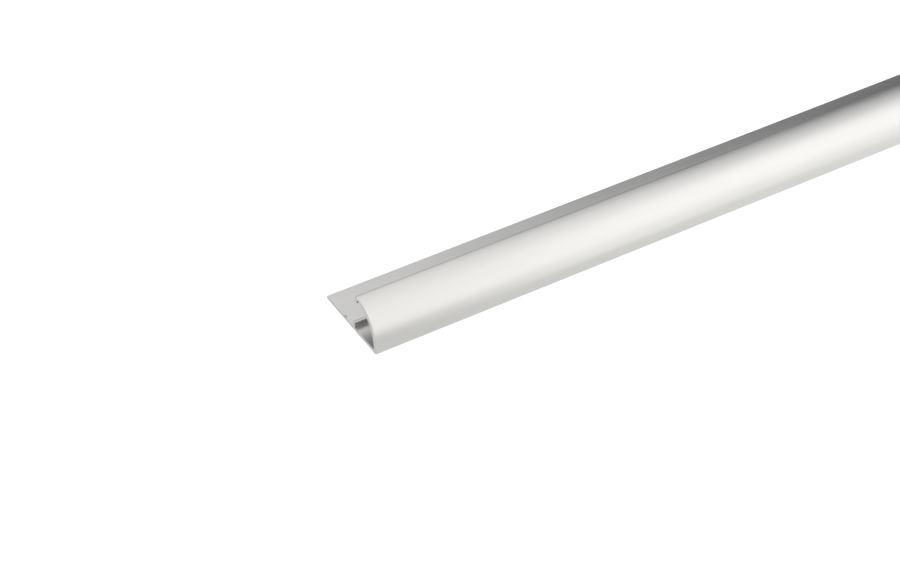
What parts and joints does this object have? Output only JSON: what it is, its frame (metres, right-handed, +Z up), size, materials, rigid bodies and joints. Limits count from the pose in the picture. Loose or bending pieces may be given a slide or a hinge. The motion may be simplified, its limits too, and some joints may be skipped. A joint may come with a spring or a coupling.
{
  "type": "floor trim profile",
  "caption": "Straight aluminium floor trim extrusion with a flat base leg and a quarter-round cover that ends in a small lip over a low rib.",
  "frame": {"origin": "centre of the footprint, on the underside of the base leg", "axes": "+X along the stock, +Y from the front face towards the rear edge of the base leg, +Z up towards the crown of the cover"},
  "size_m": [0.9, 0.025, 0.012],
  "materials": {
    "anodised_aluminium": "satin natural anodised, with faint lines along the extrusion and plain sawn ends"
  },
  "bodies": {
    "root": {"trim_profile": "anodised_aluminium"}
  },
  "joints": []
}
